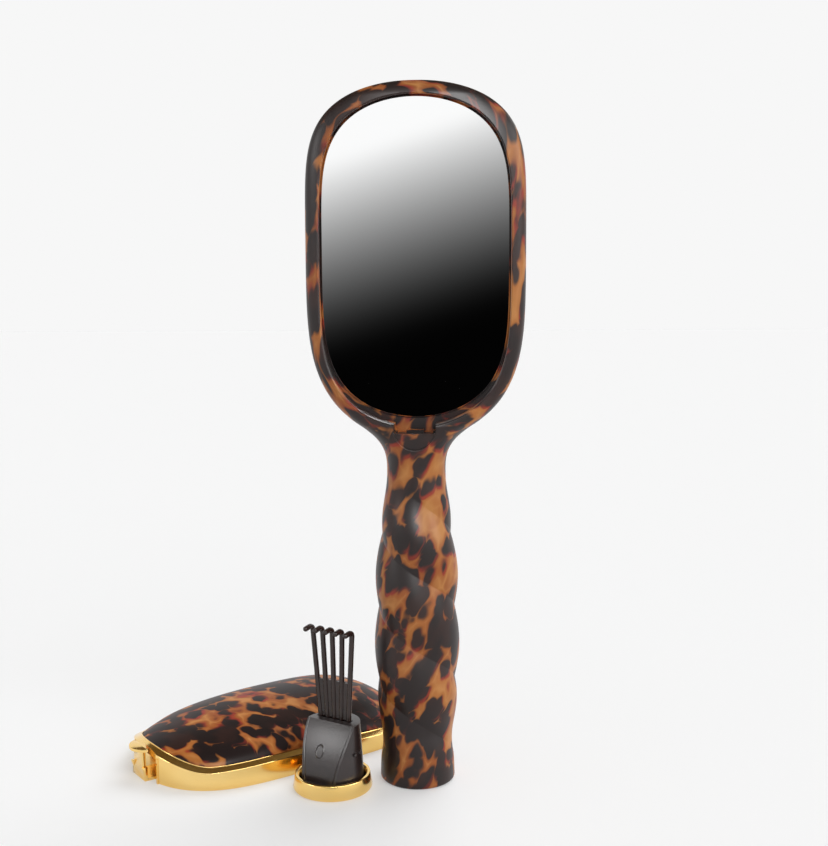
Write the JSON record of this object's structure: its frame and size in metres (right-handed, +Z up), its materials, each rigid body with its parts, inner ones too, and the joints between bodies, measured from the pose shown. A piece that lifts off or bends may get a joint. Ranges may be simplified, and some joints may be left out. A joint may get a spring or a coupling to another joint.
{
  "type": "detangling brush",
  "caption": "Paddle detangling brush with twisted handle, mirror back, click-on domed cover with push latch and a hooked cleaning tool that stows in the handle end.",
  "frame": {"origin": "centre of the flat end of the handle, on the surface that the brush stands on", "axes": "+Z up along the handle, -Y out of the mirror, +Y out of the pins, +X to the right of someone facing the mirror"},
  "size_m": [0.146, 0.1048, 0.2462],
  "materials": {
    "tortoiseshell": "satin acetate, amber with dark brown blotches",
    "mirror": "silvered glass",
    "foam_tape": "black foam tape",
    "black_plastic": "fine moulded texture",
    "cushion_rubber": "matt rubber",
    "pin_nylon": "polished nylon",
    "gold": "polished gold plate",
    "rake_nylon": "glossy brown-black nylon"
  },
  "bodies": {
    "brush": {"handle_frame": "tortoiseshell", "mirror_glass": "mirror", "mirror_tape": "foam_tape", "carrier_plate": "black_plastic", "bristle_cushion": "cushion_rubber", "cushion_ring": "black_plastic"},
    "pins": {"pin_bed": "pin_nylon"},
    "cover": {"cover_shell": "tortoiseshell", "cover_rim": "gold"},
    "latch": {"release_latch": "gold"},
    "tool": {"end_cap": "gold", "tool_plug": "black_plastic", "cleaning_rake": "rake_nylon"}
  },
  "joints": [
    {"name": "pad_press", "type": "slide", "parent": "brush", "child": "pins", "axis": [0, -1, 0], "range_m": [0, 0.002], "stiffness_N_per_m": 1500},
    {"name": "cover_lift", "type": "slide", "parent": "brush", "child": "cover", "axis": [0, 0, 1], "range_m": [0, 0.06]},
    {"name": "latch_push", "type": "hinge", "parent": "cover", "child": "latch", "pos_m": [-0.10003, -0.00492, 0.001], "axis": [-0.6373, 0.7706, 0], "range_deg": [0, 8], "stiffness_Nm_per_rad": 0.5},
    {"name": "tool_lift", "type": "slide", "parent": "brush", "child": "tool", "axis": [0, 0, 1], "range_m": [0, 0.06]}
  ]
}
